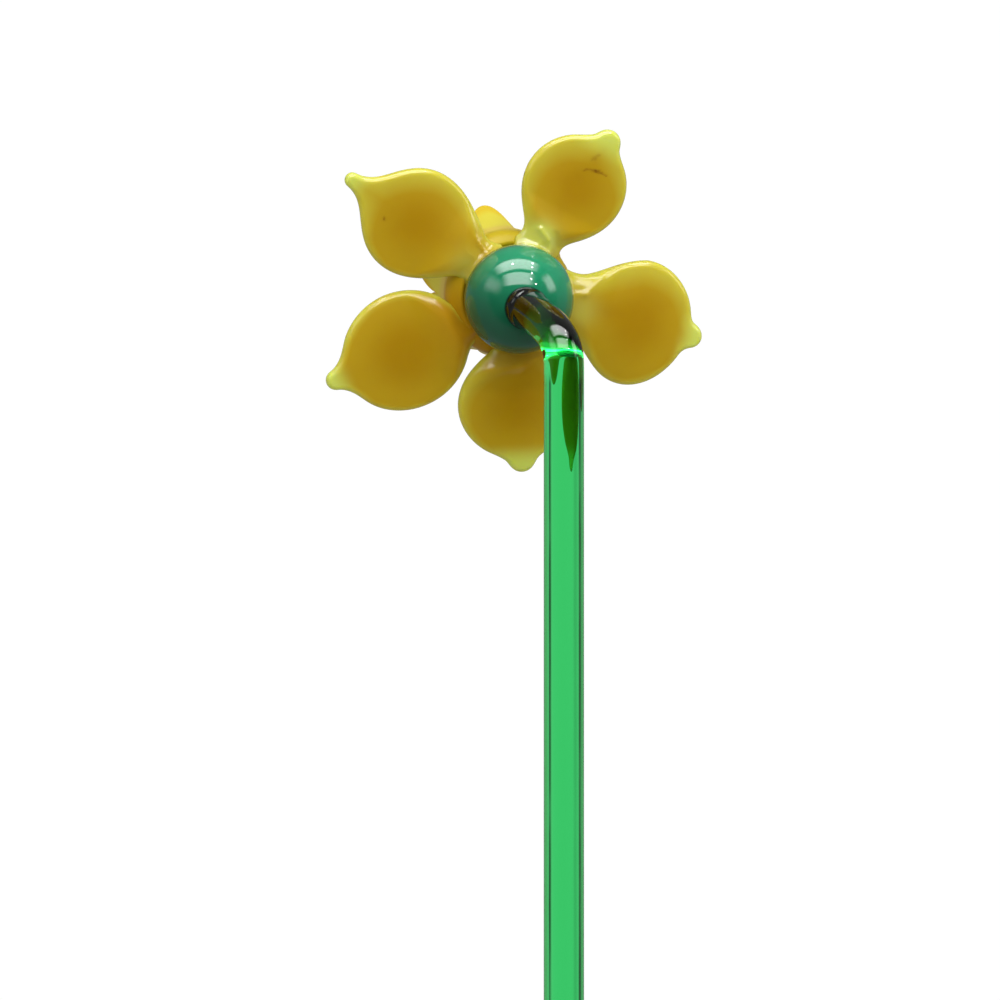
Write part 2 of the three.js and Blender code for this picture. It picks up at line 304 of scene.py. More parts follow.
def petalGlass():
    material, tree = newMaterial("petalGlass")
    finish = petalFinish
    place = attribute(tree, "petalPlace", "Vector")
    fromEdge, lime = attribute(tree, "fromEdge"), attribute(tree, "limeShare")
    # Painted light: how far a point lies on the petal's side towards the head, where the lamps are.
    high = attribute(tree, "paintedLitSide")
    cloud = noise(tree, place, finish["cloudScale"], finish["cloudDetail"])
    streak = noise(tree, place, finish["streakScale"], finish["streakDetail"])
    # Painted light: the lighter edge reaches further in on that side.
    litEdgeWide = blended(finish["shadedSideEdge"], finish["litSideEdge"], high * high)
    inward = (fromEdge + (cloud - 0.5) * finish["cloudReach"]).maths("MAXIMUM", 0.0)
    inner = mixedColour(tree, finish["blade"], finish["middle"],
                        stepped(inward, *finish["middleOver"]))
    colour = layered(tree, finish["edge"], [
        (inner, clamped(inward / litEdgeWide) ** finish["edgeFade"]),
        (finish["amber"], attribute(tree, "amberShare") * stepped(fromEdge, *finish["amberOver"])),
        (finish["neck"], clamped(lime)),
        (finish["knob"], clamped(attribute(tree, "knobShare"))),
        (finish["stain"], clamped(attribute(tree, "stain")))])
    bump = addNode(tree, "ShaderNodeBump", None, {
        "Strength": finish["streakBump"], "Distance": finish["streakHigh"] * mm, "Height": streak})
    denseGlass(tree, finish, colour, {
        "Coat Weight": clamped(lime * finish["coatOnLime"] + finish["coat"]),
        "Coat Roughness": finish["coatRoughness"], "Normal": bump.out(0)})
    return material


# Painted shade: the tube is darker away from the head, where the lamps are. A paler pinkish band at
# the fold is a painted highlight; the lobes and their rims follow the flare.
trumpetFinish = {"low": (0.36, 0.19, 0.004), "tube": (0.40, 0.30, 0.007), "tubeOver": (-3.0, 9.0),
                 "foldHighlight": (0.50, 0.38, 0.06), "foldHighlightOver": (0.04, 0.15),
                 "lobe": (0.50, 0.44, 0.04), "lobeOver": (0.2, 0.4),
                 "rim": (0.50, 0.36, 0.015), "rimOver": (0.75, 0.95),
                 "roughness": 0.3, "specular": 0.1, "through": 0.2, "throughDepth": 0.8,
                 "spread": (1.0, 0.9, 0.3)}


def trumpetGlass():
    material, tree = newMaterial("trumpetGlass")
    along = attribute(tree, "flareShare")
    # Painted shade on the tube away from the head; a painted highlight along the fold.
    measures = {"tube": attribute(tree, "litHeadSide"), "foldHighlight": along, "lobe": along,
                "rim": attribute(tree, "toRim")}
    colour = layered(tree, trumpetFinish["low"], [
        (trumpetFinish[name], stepped(measure, *trumpetFinish[name + "Over"]))
        for name, measure in measures.items()])
    denseGlass(tree, trumpetFinish, colour)
    return material


# Ball colours: lighter towards the head, where the lamps are, and darker away from it, as painted
# light and shade.
ballFinish = {"low": (0.006, 0.070, 0.033), "body": (0.015, 0.225, 0.105),
              "litSideOver": (-0.75, 0.95), "rim": (0.03, 0.11, 0.035), "rimOver": (-0.1, 0.25),
              "root": (0.004, 0.012, 0.006), "rootShadeOver": (3.7, 4.0),
              "roughness": 0.05, "specular": 0.5, "through": 0.3, "throughDepth": 1.5,
              "spread": (0.3, 1.0, 0.5)}


def ballGlass():
    material, tree = newMaterial("ballGlass")
    finish = ballFinish
    # Painted light and shade: lighter towards the head, darker away from it.
    body = mixedColour(tree, finish["low"], finish["body"],
                       stepped(attribute(tree, "towardsLitHead"), *finish["litSideOver"]))
    # Painted shade: a darker olive band round the ball's edge, by the petals and trumpet.
    side = mixedColour(tree, finish["rim"], body,
                       stepped(attribute(tree, "ballHeight"), *finish["rimOver"]))
    # Painted shade: the ball goes dark round the rod's root, seen through the clear rod.
    colour = mixedColour(tree, finish["root"], side,
                         stepped(attribute(tree, "fromRod"), *finish["rootShadeOver"]))
    denseGlass(tree, finish, colour)
    return material


# The side and root colours are painted shade on the rod.
stemFinish = {"tint": (0.35, 0.85, 0.50), "depthColour": (0.03, 0.83, 0.41), "density": 300.0,
              "side": (0.24, 0.40, 0.20), "darkEdgeOver": (2.75, 2.95),
              "root": (0.005, 0.10, 0.02), "rootShadeOver": (0.3, 5.0),
              "backOver": (-0.4, 0.4), "bendOver": (-4.0, -1.0),
              "grainScale": 1.2, "grainDetail": 3.0, "grainStretch": 0.05, "grainLeast": 0.6,
              "darkLines": [(-2.46, 0.24, 0.02), (2.72, 0.26, 0.01), (1.95, 0.35, 0.6)]}


# Drawn rod: fine dark lines along its back, each with its place across the rod, its
# half width and how much light it lets through; painted shade darkening its sides, and painted
# shade at the root where it meets the ball.
def rodColour(tree):
    finish = stemFinish
    across, along, up = axes(tree, attribute(tree, "rodPlace", "Vector"))
    onBack = stepped(up, *finish["backOver"]) * (1.0 - stepped(along, *finish["bendOver"]))
    stretched = addNode(tree, "ShaderNodeCombineXYZ", None, {
        0: across, 1: along * finish["grainStretch"]})
    grain = noise(tree, stretched.out(0), finish["grainScale"], finish["grainDetail"])
    # Painted shade: darker sides on the rod's back.
    side = stepped(across.maths("ABSOLUTE"), *finish["darkEdgeOver"]) * onBack
    layers = [(finish["side"], side)]
    for at, wide, through in finish["darkLines"]:
        off = (across - at) / wide
        line = (off * off * -1.0).maths("EXPONENT") * onBack * (grain + finish["grainLeast"])
        layers.append((tuple(value * through for value in finish["tint"]), clamped(line)))
    colour = layered(tree, finish["tint"], layers)
    # Painted shade: the rod darkens towards its root in the ball.
    return mixedColour(tree, finish["root"], colour,
                       stepped(attribute(tree, "fromRoot"), *finish["rootShadeOver"]))


def stemGlass():
    material, tree = newMaterial("stemGlass")
    glass = addNode(tree, "ShaderNodeBsdfPrincipled", None, {
        "Base Color": rodColour(tree), "Roughness": 0.0, "IOR": glassIor,
        "Transmission Weight": 1.0})
    depth = addNode(tree, "ShaderNodeVolumeAbsorption", None, {
        "Color": (*stemFinish["depthColour"], 1.0), "Density": stemFinish["density"]})
    finished(tree, glass, depth)
    return material


# Petals: pressed glass paddles with drawn-out tips and thick necks. Sizes in mm,
# lengths outward from the bloom's axis, sides counter-clockwise seen from the back.
# A ridge or stain is a stroke: "from" holds x, y and half width, "to" x, y and height.
strokes = [f"{kind} {index}" for kind in ("Ridge", "Stain") for index in (1, 2, 3)]
blade = {"Plane": -4.2, "Cup": 0.008, "Paddle thick": 1.2, "Neck thick": 2.3,
         "Neck end": 12.0, "Paddle start": 18.0, "Rim": 0.9, "Neck rim": 4.2,
         "Root radius": 9.4, "Root cut": 7.0, "Neck from": 6.0, "Fillet": 1.4,
         "Root reach": 1.3, "Root drop": 0.0, "Towards head": (0.0, 1.0, 0.0),
         # The last value below scales the painted light on the petal's edge towards the head.
         "Voxel": 0.25, "Painted lit side": 1.0,
         **{stroke + " from": (0.0, 0.0, 0.4) for stroke in strokes},
         **{stroke + " to": (0.0, 0.0, 0.0) for stroke in strokes}}
petals = {
    "petal_1": {"turn": 144.6, "Centre": 22.4, "Side": 0.2, "Long": 9.2, "Wide": 9.5,
                "Tip": 36.4, "Tip side": 0.8, "Tip radius": 1.4, "Tip blend": 5.1,
                "Neck": 1.5, "Neck side": -1.8, "Neck far": 2.0, "Neck far side": 0.0,
                "Neck blend": 11.9, "Root blend": 3.0,
                "Lime at": (10.8, 0.8, 3.2), "Lime": 0.45, "Amber": 0.0,
                "Ridge 1 from": (12.6, -4.1, 0.45), "Ridge 1 to": (11.2, -3.65, 0.15),
                "Ridge 2 from": (11.2, -3.6, 0.5), "Ridge 2 to": (8.7, -3.0, 0.35),
                "Stain 1 from": (27.9, 2.9, 0.3), "Stain 1 to": (27.9, 2.9, 1.0)},
    "petal_2": {"turn": 62.8, "Centre": 22.0, "Side": 0.0, "Long": 9.6, "Wide": 9.5,
                "Tip": 31.8, "Tip side": -1.2, "Tip radius": 2.4, "Tip blend": 2.0,
                "Neck": 1.5, "Neck side": 1.6, "Neck far": 2.0, "Neck far side": 0.0,
                "Neck blend": 6.9, "Root blend": 5.0,
                "Lime at": (10.6, 1.6, 3.0), "Lime": 2.2, "Amber": 0.0, "Painted lit side": 1.15,
                "Ridge 1 from": (12.7, 2.3, 0.5), "Ridge 1 to": (11.8, 0.3, 0.5),
                "Ridge 2 from": (11.5, -0.25, 0.5), "Ridge 2 to": (10.5, -1.25, 0.4),
                "Ridge 3 from": (13.2, -0.75, 0.5), "Ridge 3 to": (11.3, -2.25, -0.2),
                "Stain 1 from": (25.6, 0.4, 0.2), "Stain 1 to": (26.7, -1.7, 0.6),
                "Stain 2 from": (26.7, -1.7, 0.25), "Stain 2 to": (26.5, -3.7, 0.8),
                "Stain 3 from": (27.9, 0.0, 0.25), "Stain 3 to": (29.1, -0.7, 0.35)},
    "petal_3": {"turn": -13.6, "Centre": 23.0, "Side": -0.2, "Long": 9.1, "Wide": 11.1,
                "Tip": 33.5, "Tip side": 0.5, "Tip radius": 2.0, "Tip blend": 1.0,
                "Neck": 4.2, "Neck side": 0.3, "Neck far": 8.6, "Neck far side": 1.9,
                "Neck blend": 4.3, "Root blend": 5.0,
                "Lime at": (12.0, 0.4, 3.3), "Lime": 0.55, "Amber": 0.0,
                "Ridge 1 from": (9.6, 2.9, 0.5), "Ridge 1 to": (12.2, 3.6, 0.25),
                "Ridge 2 from": (12.2, 3.6, 0.5), "Ridge 2 to": (14.3, 7.1, 0.25)},
    "petal_4": {"turn": -87.8, "Centre": 20.2, "Side": 0.7, "Long": 9.7, "Wide": 10.7,
                "Tip": 30.3, "Tip side": 1.4, "Tip radius": 2.4, "Tip blend": 2.2,
                "Neck": 1.5, "Neck side": 3.2, "Neck far": 2.0, "Neck far side": 0.0,
                "Neck blend": 11.0, "Root blend": 2.5,
                "Lime at": (0.0, 0.0, 1.0), "Lime": 0.0, "Amber": 0.6,
                "Ridge 1 from": (13.5, -5.3, 0.9), "Ridge 1 to": (12.7, 0.0, 0.3),
                "Ridge 2 from": (12.7, 0.0, 0.9), "Ridge 2 to": (11.0, 4.5, 0.3)},
    "petal_5": {"turn": 208.4, "Centre": 22.0, "Side": 0.0, "Long": 11.7, "Wide": 10.8,
                "Tip": 35.6, "Tip side": -1.3, "Tip radius": 1.8, "Tip blend": 3.0,
                "Neck": 1.6, "Neck side": 3.2, "Neck far": 2.0, "Neck far side": 0.0,
                "Neck blend": 3.0, "Root blend": 1.0, "Root drop": 0.8, "Painted lit side": 0.3,
                "Lime at": (0.0, 0.0, 1.0), "Lime": 0.0, "Amber": 1.0,
                "Ridge 1 from": (12.5, -5.9, 1.2), "Ridge 1 to": (12.6, 4.4, 0.3)},
}


def taperedBar(x, y, start, end, startRadius, endRadius):
    dx, dy = end[0] - start[0], end[1] - start[1]
    share = clamped(((x - start[0]) * dx + (y - start[1]) * dy) / (dx * dx + dy * dy))
    away = hypot(x - start[0] - share * dx, y - start[1] - share * dy)
    return away - blended(startRadius, endRadius, share)


# Negative inside the petal's outline, in its own plane.
def petalOutline(size, x, y):
    shortest = size("Long").maths("MINIMUM", size("Wide"))
    oval = hypot((x - size("Centre")) / size("Long"), (y - size("Side")) / size("Wide"))
    dx, dy = size("Tip") - size("Centre"), size("Tip side") - size("Side")
    share = size("Long") * petalForm["tipFrom"] / hypot(dx, dy)
    tip = taperedBar(x, y, (size("Centre") + dx * share, size("Side") + dy * share),
                     (size("Tip"), size("Tip side")),
                     size("Tip radius") * petalForm["tipSwell"], size("Tip radius"))
    neck = taperedBar(x, y, (size("Neck from"), size("Neck side")),
                      (size("Centre"), size("Neck far side")), size("Neck"), size("Neck far"))
    paddle = joined((oval - 1.0) * shortest, tip, size("Tip blend"))
    body = joined(paddle, neck, size("Neck blend"))
    return body, joined(body, hypot(x, y) - size("Root radius"), size("Root blend"))


# All strokes of one kind: soft humps along lines.
def strokeSum(tree, size, kind, x, y):
    humps = []
    for stroke in strokes:
        if stroke.startswith(kind):
            startX, startY, wide = axes(tree, size(stroke + " from"))
            endX, endY, height = axes(tree, size(stroke + " to"))
            across = taperedBar(x, y, (startX, startY), (endX, endY), 0.0, 0.0) / wide
            humps.append(height * (across * across * -1.0).maths("EXPONENT"))
    return humps[0] + humps[1] + humps[2]


# What all petals share: their mesh box, their surface and where their colours change.
petalForm = {"low": (5.0, -14.0, -11.0), "high": (40.0, 14.0, 3.0), "underBall": 0.03,
             "leastFillet": 0.001, "waveScale": 0.09, "waveDetail": 1.0, "waveHigh": 0.8,
             "dropOver": (9.0, 17.0), "tipFrom": 0.6, "tipSwell": 1.8, "knobFrom": -3.5,
             "knobTo": 1.0, "amberOver": (10.0, 18.0), "curlScale": 0.9, "curlDetail": 2.0,
             "curlReach": 1.6}


def petalShape(material):
    labels = [(label, "Vector" if isinstance(value, tuple) else "Float", value)
              for label, value in {**blade, **petals["petal_1"]}.items() if label != "turn"]
    tree, start, end = newShape("petalShape", labels)
    size, form = start.out, petalForm
    spot = addNode(tree, "GeometryNodeInputPosition").out(0)
    x, y, z = axes(tree, spot)
    bodyOutline, outline = petalOutline(size, x, y)
    toPaddle = stepped(x, size("Neck end"), size("Paddle start"))
    thick = blended(size("Neck thick"), size("Paddle thick"), toPaddle)
    rim = blended(size("Neck rim"), size("Rim"), toPaddle)
    outward = (rim + outline).maths("MAXIMUM", 0.0) / rim
    wave = (noise(tree, spot, form["waveScale"], form["waveDetail"]) - 0.5) * form["waveHigh"]
    drop = size("Root drop") * (1.0 - stepped(x, *form["dropOver"]))
    raised = strokeSum(tree, size, "Ridge", x, y)
    middle = size("Plane") - drop - size("Cup") * y * y + wave + raised
    slab = (hypot(outward, (z - middle) / thick) - 1.0) * thick.maths("MINIMUM", rim)
    ballWall = hypot(hypot(x, y), z) - ball["radius"] + form["underBall"]
    fillet = size("Fillet") * (1.0 + form["leastFillet"]
                               - stepped(bodyOutline, 0.0, size("Root reach")))
    fused = joined(slab, ballWall, fillet)
    body = (fused.maths("MAXIMUM", slab - fillet).maths("MAXIMUM", size("Root cut") - x)
            .maths("MAXIMUM", bodyOutline - size("Root reach")))
    counts = [(form["high"][i] - form["low"][i]) / size("Voxel") for i in range(3)]
    grid = addNode(tree, "GeometryNodeVolumeCube", None, {
        "Density": -body, "Background": -1.0, "Min": form["low"], "Max": form["high"],
        "Resolution X": counts[0], "Resolution Y": counts[1], "Resolution Z": counts[2]})
    skin = addNode(tree, "GeometryNodeVolumeToMesh", None,
                   {"Volume": grid.out(0), "Threshold": 0.0, "Adaptivity": 0.0})
    knob = stepped(x, size("Tip") + form["knobFrom"], size("Tip") + form["knobTo"])
    limeX, limeY, limeReach = axes(tree, size("Lime at"))
    toLime = hypot(x - limeX, y - limeY) / limeReach
    lime = size("Lime") * (toLime * toLime * -1.0).maths("EXPONENT")
    amber = size("Amber") * (1.0 - stepped(x, *form["amberOver"]))
    # Painted light: share of the side towards the head, where the lamps light the rims.
    headX, headY, _ = axes(tree, size("Towards head"))
    along = (x - size("Centre")) * headX + (y - size("Side")) * headY
    paintedLitSide = clamped(along / size("Wide") * 0.5 + 0.5) * size("Painted lit side")
    curls = axes(tree, noise(tree, spot, form["curlScale"], form["curlDetail"], "Color"))
    stainX, stainY = [place + (curl - 0.5) * form["curlReach"]
                      for place, curl in ((x, curls[0]), (y, curls[1]))]
    shape = addNode(tree, "GeometryNodeStoreNamedAttribute", {"data_type": "FLOAT_VECTOR"}, {
        "Geometry": skin.out(0), "Name": "petalPlace", "Value": spot})
    for label, value in {"fromEdge": -outline, "knobShare": knob, "limeShare": lime,
                         "amberShare": amber, "paintedLitSide": paintedLitSide,
                         "stain": strokeSum(tree, size, "Stain", stainX, stainY)}.items():
        shape = addNode(tree, "GeometryNodeStoreNamedAttribute", {"data_type": "FLOAT"}, {
            "Geometry": shape.out(0), "Name": label, "Value": value})
    closed(tree, end, shape.out(0), material)
    return tree


# Trumpet: a ring on the ball, and a tube that flares into uneven round lobes. The seat
# and the lip are arcs: radius, first and last angle, points. A lobe holds where it starts,
# how far up the flare its notch lies and how far it reaches.
trumpet = {"seat": (9.75, -30, -27, 4), "lip": (0.65, 150, 30, 9), "lipCentre": (9.7, -4.6),
           "shoulder": (11.45, -5.6), "shoulderSteps": 9, "flareRadius": 11.5,
           "flareHeight": -7.0, "flareOut": 2.8, "flareLong": 11.0, "flareBend": 2.0,
           "rimArc": (15, 165, 11), "floorHeight": -7.0, "floorRadius": 7.4,
           "floorMiddle": 0.02, "wall": 1.6, "around": 360, "along": 40,
           "lobeRound": 0.55, "aside": -0.45, "asideOver": 2.4,
           "lobes": [(24, 0.5, 0.9), (70, 0.12, 0.15), (84, 0.2, 1.02), (116, 0.55, 1.16),
                     (184, 0.44, 1.08), (249, 0.25, 0.72), (313, 0.45, 1.1)]}


# Each lobe is a round scallop between the notch where it starts and the next one's.
def rimShare(azimuth):
    lobes = trumpet["lobes"]
    found = max([i for i, lobe in enumerate(lobes) if lobe[0] <= azimuth], default=-1)
    start, notch, reach = lobes[found]
    nextStart, nextNotch, _ = lobes[(found + 1) % len(lobes)]
    along = ((azimuth - start) % 360) / ((nextStart - start) % 360)
    base = notch + (nextNotch - notch) * along
    return base + (reach - base) * math.sin(math.pi * along) ** trumpet["lobeRound"]


def flarePoint(share, depth):
    slope = trumpet["flareBend"] * trumpet["flareOut"] * share ** (trumpet["flareBend"] - 1)
    length = math.hypot(slope, trumpet["flareLong"])
    return (trumpet["flareRadius"] + trumpet["flareOut"] * share ** trumpet["flareBend"]
            - depth * trumpet["flareLong"] / length,
            trumpet["flareHeight"] - trumpet["flareLong"] * share - depth * slope / length)


def arc(centre, radius, start, end, count):
    return [(centre[0] + radius * math.cos(turn), centre[1] + radius * math.sin(turn), 0, 0)
            for turn in np.radians(np.linspace(start, end, count))]


# One side of the trumpet from ring to floor: radius, height, flare share and rim share.
def trumpetSection(share):
    section = arc((0, 0), *trumpet["seat"]) + arc(trumpet["lipCentre"], *trumpet["lip"])
    lip, bend, wall = section[-1], trumpet["shoulder"], flarePoint(0, 0)
    for step in np.linspace(0.1, 0.9, trumpet["shoulderSteps"]):
        rest = 1 - step
        section.append((*[lip[i] * rest ** 2 + bend[i] * 2 * step * rest + wall[i] * step ** 2
                          for i in (0, 1)], 0, 0))
    steps = np.linspace(0, 1, trumpet["along"])
    section += [(*flarePoint(share * step, 0), share * step, step) for step in steps]
    outside, inside = flarePoint(share, 0), flarePoint(share, trumpet["wall"])
    middle = [(outside[i] + inside[i]) / 2 for i in (0, 1)]
    across = [outside[i] - middle[i] for i in (0, 1)]
    for turn in np.radians(np.linspace(*trumpet["rimArc"])):
        c, s = math.cos(turn), math.sin(turn)
        section.append((middle[0] + across[0] * c + across[1] * s,
                        middle[1] + across[1] * c - across[0] * s, share, 1))
    section += [(*flarePoint(share * step, trumpet["wall"]), share * step, step)
                for step in steps[::-1]]
    section.append((trumpet["floorRadius"], trumpet["floorHeight"], 0, 0))
    section.append((trumpet["floorMiddle"], trumpet["floorHeight"], 0, 0))
    return section


# The tube sits a little to one side of the ring that holds it.
def pushedAside(z):
    share = (trumpet["lipCentre"][1] - z) / trumpet["asideOver"]
    return trumpet["aside"] * min(max(share, 0.0), 1.0)


def makeTrumpet():
    around = trumpet["around"]
    rings = []
    for side in range(around):
        azimuth = 360 * side / around
        turn = math.radians(azimuth)
        rings.append([(r * math.cos(turn) + pushedAside(z), r * math.sin(turn), z, share, step)
                      for r, z, share, step in trumpetSection(rimShare(azimuth))])
    grid = np.array(rings)
    rows = grid.shape[1]
    points = grid.reshape(-1, 5)
    faces = []
    for side in range(around):
        other = (side + 1) % around
        for row in range(rows - 1):
            a, b = side * rows + row, other * rows + row
            faces.append((a, a + 1, b + 1, b))
    faces.append([side * rows for side in range(around)])
    faces.append([side * rows + rows - 1 for side in range(around)][::-1])
    piece = meshPiece("trumpet", points[:, :3], faces, trumpetFrame)
    # How far each point lies towards the head, for the tube's painted shade.
    keepOnPoints(piece, {"litHeadSide": points[:, 1], "flareShare": points[:, 3],
                         "toRim": points[:, 4]})
    return piece


# The ball keeps how high each point lies, how near the head, for its painted light and shade, and
# how far off the rod, for the painted shade round the rod's root.
def makeBall():
    points, heights, towardsLitHead, offRod = [], [], [], []
    root, leave = Vector(stem["root"]), Vector(stem["rootPull"]).normalized()
    toStem = stemFrame.inverted() @ trumpetFrame
    flat = math.asin(ball["flatAt"] / ball["radius"])
    top = math.pi / 2 - ball["topHole"]
    around = ball["around"]
    for row in range(ball["rows"] + 1):
        angle = flat + (top - flat) * row / ball["rows"]
        r, z = ball["radius"] * math.cos(angle), ball["radius"] * math.sin(angle)
        for side in range(around):
            turn = 2 * math.pi * side / around
            points.append((r * math.cos(turn), r * math.sin(turn), z))
            heights.append(z / ball["radius"])
            spot = toStem @ Vector(points[-1])
            towardsLitHead.append((spot.y + ball["lightAside"] * spot.x) / ball["radius"])
            # Distance off the rod, for the painted shade round its root.
            fromRoot = spot - root
            inFront = fromRoot.dot(leave) > ball["rodBehind"]
            offRod.append(fromRoot.cross(leave).length if inFront else ball["farOff"])
    faces = []
    for row in range(ball["rows"]):
        for side in range(around):
            a, b = row * around + side, row * around + (side + 1) % around
            faces.append((a, b, b + around, a + around))
    faces.append(list(range(around))[::-1])
    faces.append([ball["rows"] * around + side for side in range(around)])
    piece = meshPiece("ball", points, faces, trumpetFrame)
    keepOnPoints(piece, {"ballHeight": heights, "towardsLitHead": towardsLitHead,
                         "fromRod": offRod})
    return piece


# Stem: a clear rod that leaves the ball at a slant and bends into the straight.
stem = {"radius": 3.5, "root": (1.62, -2.24, 9.19), "rootPull": (3.06, -2.63, 6.63),
        "rodTop": (7.69, -12.01, 23.07), "rodPull": (0, 4.94, 0.73), "endAt": -275.0,
        "flare": 0.3, "flareLong": 1.4, "sunk": 1.6, "polished": 1.0, "around": 96,
        "bendPoints": 160, "rodPoints": 2200, "rodGap": 0.12, "step": 0.15, "eased": 2.6,
        "bendLong": 40.0, "thinned": 8}


# The rod's middle line: a smooth bend in short steps, then the straight in long ones.
def stemPath():
    root, top = Vector(stem["root"]), Vector(stem["rodTop"])
    leave = Vector(stem["rootPull"]).normalized()
    pulls = root + Vector(stem["rootPull"]), top + Vector(stem["rodPull"])
    path = []
    for share in np.linspace(0, 1, stem["bendPoints"]):
        rest = 1 - share
        path.append(root * rest ** 3 + pulls[0] * 3 * share * rest ** 2
                    + pulls[1] * 3 * share ** 2 * rest + top * share ** 3)
    for y in np.linspace(top.y - stem["rodGap"], stem["endAt"], stem["rodPoints"]):
        path.append(Vector((top.x, y, top.z)))
    even = np.array(path)
    gone = np.concatenate([[0], np.cumsum(np.linalg.norm(np.diff(even, axis=0), axis=1))])
    level = np.arange(0, gone[-1], stem["step"])
    even = np.array([np.interp(level, gone, even[:, i]) for i in range(3)]).T
    reach = int(stem["eased"] / stem["step"])
    weights = np.hanning(2 * reach + 1)
    padded = np.concatenate([even[0] + (even[0] - even[1:reach + 1][::-1]), even,
                             even[-1] + (even[-1] - even[-reach - 1:-1][::-1])])
    eased = np.array([np.convolve(padded[:, i], weights / weights.sum(), "valid")
                      for i in range(3)]).T
    inBend = level < stem["bendLong"]
    points = [Vector(point) for point in eased[inBend]]
    points += [Vector(point) for point in eased[~inBend][::stem["thinned"]]]
    return [root - leave * stem["sunk"], *points, Vector((top.x, stem["endAt"], top.z))]


def stemShape(material):
    labels = [("Radius", "Float", stem["radius"]), ("Flare", "Float", stem["flare"]),
              ("Flare long", "Float", stem["flareLong"]), ("Sunk", "Float", stem["sunk"]),
              ("Polished", "Float", stem["polished"]), ("Around", "Int", stem["around"])]
    tree, start, end = newShape("stemShape", labels)
    size = start.out
    path = addNode(tree, "GeometryNodeMeshToCurve", None, {"Mesh": size("Geometry")})
    spline = addNode(tree, "GeometryNodeSplineParameter")
    gone = spline.out("Length") - size("Sunk")
    total = addNode(tree, "GeometryNodeSplineLength").out(0)
    flare = (1.0 - gone.maths("MAXIMUM", 0.0) / size("Flare long")).maths("MAXIMUM", 0.0)
    toEnd = clamped((total - spline.out("Length")) / size("Polished"))
    rounded = (1.0 - (1.0 - toEnd) ** 2.0).maths("MAXIMUM", 0.0).maths("SQRT")
    radius = (size("Radius") + size("Flare") * flare * flare
              - size("Polished") * (1.0 - rounded))
    measured = addNode(tree, "GeometryNodeStoreNamedAttribute", {"data_type": "FLOAT"}, {
        "Geometry": path.out(0), "Name": "fromRoot", "Value": gone})
    thick = addNode(tree, "GeometryNodeSetCurveRadius", None, {
        "Curve": measured.out(0), "Radius": radius})
    circle = addNode(tree, "GeometryNodeCurvePrimitiveCircle", None, {
        "Resolution": size("Around"), "Radius": 1.0})
    skin = addNode(tree, "GeometryNodeCurveToMesh", None, {
        "Curve": thick.out(0), "Profile Curve": circle.out(0), "Fill Caps": True,
        "Scale": addNode(tree, "GeometryNodeInputRadius").out(0)})
    spot = addNode(tree, "GeometryNodeInputPosition").out(0)
    fromTop = addNode(tree, "ShaderNodeVectorMath", {"operation": "SUBTRACT"}, {
        0: spot, 1: stem["rodTop"]})
    marked = addNode(tree, "GeometryNodeStoreNamedAttribute", {"data_type": "FLOAT_VECTOR"}, {
        "Geometry": skin.out(0), "Name": "rodPlace", "Value": fromTop.out(0)})
    closed(tree, end, marked.out(0), material)
    return tree


def makeStem(material):
    path = stemPath()
    base = bpy.data.meshes.new("stemPath")
    base.from_pydata(path, [(i, i + 1) for i in range(len(path) - 1)], [])
    return grown("stem", stemShape(material), {}, stemFrame, base)


petalMaterial = petalGlass()
shape = petalShape(petalMaterial)
for name, sizes in petals.items():
    place = petalFrame @ turned(sizes["turn"], "Z")
    turn = math.radians(sizes["turn"])
    # Direction towards the head, where the lamps are, for the petals' painted light.
    towardsLitHead = {"Towards head": (math.sin(turn), math.cos(turn), 0.0)}
    piece = grown(name + "_glass", shape, {**blade, **sizes, **towardsLitHead}, place)
    dress(piece, petalMaterial, name)
    print(name, len(piece.data.polygons), "faces")
dress(makeTrumpet(), trumpetGlass(), "corona")
dress(makeBall(), ballGlass(), "calyx_ball")
rodMaterial = stemGlass()
dress(makeStem(rodMaterial), rodMaterial, "stem")
print("flower made")

# Floor: one plain pale light table. Seen through the glass it is brighter past the head,
# and brightest far beyond, each over a stretch from one distance to another in metres.
floorPlace = {"reach": 6.0, "drop": 0.0002}
floorGlow = {"seen": 1.02, "onThings": 0.9, "inGloss": 0.25, "lit": 1.8,
             "litOver": (0.165, 0.235), "far": 22.0, "farOver": (0.26, 0.4)}
floor = meshPiece("floor", [(x * floorPlace["reach"], y * floorPlace["reach"], -floorPlace["drop"])
                            for x, y in ((-1, -1), (1, -1), (1, 1), (-1, 1))],
                  [(0, 1, 2, 3)], Matrix.Identity(4))
paper, tree = newMaterial("floorPaper")
ray = addNode(tree, "ShaderNodeLightPath")
beyond = axes(tree, addNode(tree, "ShaderNodeTexCoord").out("Object"))[1]
litShare, farShare = [stepped(beyond, *floorGlow[name]) for name in ("litOver", "farOver")]
throughGlass = (litShare * (floorGlow["lit"] - floorGlow["seen"])
                + farShare * (floorGlow["far"] - floorGlow["lit"]) + floorGlow["seen"])
reflected = ray.out("Is Glossy Ray") * (1.0 - ray.out("Is Transmission Ray"))
strength = (ray.out("Is Camera Ray") * (floorGlow["seen"] - floorGlow["onThings"])
            + ray.out("Is Transmission Ray") * (throughGlass - floorGlow["onThings"])
            + reflected * (floorGlow["inGloss"] - floorGlow["onThings"])
            + floorGlow["onThings"])
finished(tree, addNode(tree, "ShaderNodeEmission", None, {"Color": strength, "Strength": 1.0}))
floor.data.materials.append(paper)

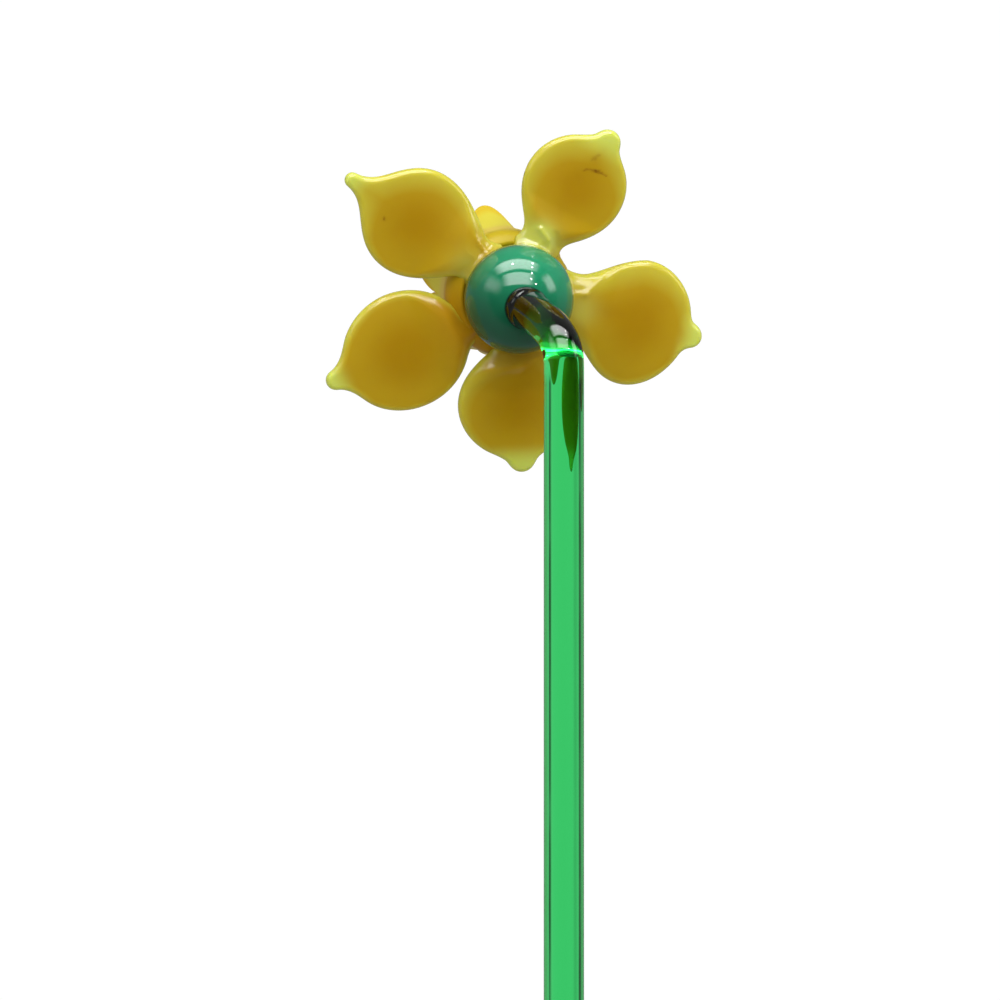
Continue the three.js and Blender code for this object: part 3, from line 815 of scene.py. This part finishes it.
# Studio: soft boxes round the head end, each at an angle off the camera's line of sight
# and round it (90 is towards the head), with its width and height in mm. A fillOnly lamp
# hangs behind the ones that shine, and the glints, a few small bare lamps, in front.
lampAway = {"fill": 618, "shine": 600, "glint": 570}
lights = {
    "softboxHigh": {"off": 77, "round": 94, "size": (840, 330), "radiance": 2.5,
                    "fillOnly": True},
    "shineHigh": {"off": 77, "round": 94, "size": (1000, 350), "radiance": 8.5,
                  "edge": (0.3, 0.2), "shineOnly": True},
    "softboxLow": {"off": 40, "round": 92, "size": (640, 350), "radiance": 2.2,
                   "fillOnly": True},
    "shineLow": {"off": 42, "round": 92, "size": (820, 330), "radiance": 7.5,
                 "edge": (0.3, 0.12), "shineOnly": True},
    "softboxLeft": {"off": 64, "round": 152, "size": (400, 640), "radiance": 2.6,
                    "edge": (0.45, 0.4)},
    "softboxRight": {"off": 76, "round": 27, "size": (420, 330), "radiance": 5.0,
                     "edge": (0.35, 0.35)},
    "key": {"off": 15, "round": 70, "size": (700, 500), "radiance": 2.65, "fillOnly": True},
    "fill": {"off": 38, "round": -65, "size": (600, 400), "radiance": 1.8, "fillOnly": True},
}
glint = {"size": (29, 29), "radiance": 60.0, "away": lampAway["glint"]}
glintsAt = [(85, 69), (74, 67), (60, 63), (48, 58), (46, 40), (78, 100)]
for index, (off, around) in enumerate(glintsAt):
    lights[f"glint{index + 1}"] = {"off": off, "round": around, **glint}


# A diffused lamp: full in its middle, fading to dark at its edges.
def softened(data, edge):
    data.use_nodes = True
    tree = data.node_tree
    tree.nodes.clear()
    across = axes(tree, addNode(tree, "ShaderNodeNewGeometry").out("Parametric"))
    inside = [0.5 - (across[i] - 0.5).maths("ABSOLUTE") for i in (0, 1)]
    share = stepped(inside[0], 0.0, edge[0]) * stepped(inside[1], 0.0, edge[1])
    glow = addNode(tree, "ShaderNodeEmission", None, {
        "Color": mixedColour(tree, (0.0, 0.0, 0.0), (1.0, 1.0, 1.0), share)})
    addNode(tree, "ShaderNodeOutputLight", None, {"Surface": glow.out(0)})


for name, light in lights.items():
    data = bpy.data.lights.new(name, "AREA")
    data.shape = "RECTANGLE"
    data.size, data.size_y = light["size"][0] * mm, light["size"][1] * mm
    data.energy = light["radiance"] * math.pi * data.size * data.size_y
    if "edge" in light:
        softened(data, light["edge"])
    lamp = bpy.data.objects.new(name, data)
    aim = turned(light["round"] - 90, "Z") @ turned(-light["off"], "X")
    fills, shines = light.get("fillOnly", False), light.get("shineOnly", False)
    away = light.get("away", lampAway["fill" if fills else "shine"])
    lamp.matrix_world = (Matrix.Translation(ballCentre) @ lying @ aim
                         @ Matrix.Translation((0, 0, away * mm)))
    lamp.visible_diffuse = not shines
    lamp.visible_glossy = lamp.visible_transmission = not fills
    scene.collection.objects.link(lamp)

# Air: pale round the horizon, dark overhead.
air = {"low": (0.25, 0.25, 0.25), "high": (0.015, 0.015, 0.016), "over": (0.1, 0.35)}
world = bpy.data.worlds.new("studio")
scene.world = world
world.use_nodes = True
world.node_tree.nodes.clear()
tree = world.node_tree
up = axes(tree, addNode(tree, "ShaderNodeTexCoord").out("Generated"))[2]
sky = addNode(tree, "ShaderNodeBackground", None, {
    "Color": mixedColour(tree, air["low"], air["high"], stepped(up, *air["over"])),
    "Strength": 1.0})
addNode(tree, "ShaderNodeOutputWorld", None, {"Surface": sky.out(0)})
scene.view_settings.view_transform = "Standard"
scene.view_settings.look = "None"
print("studio set")
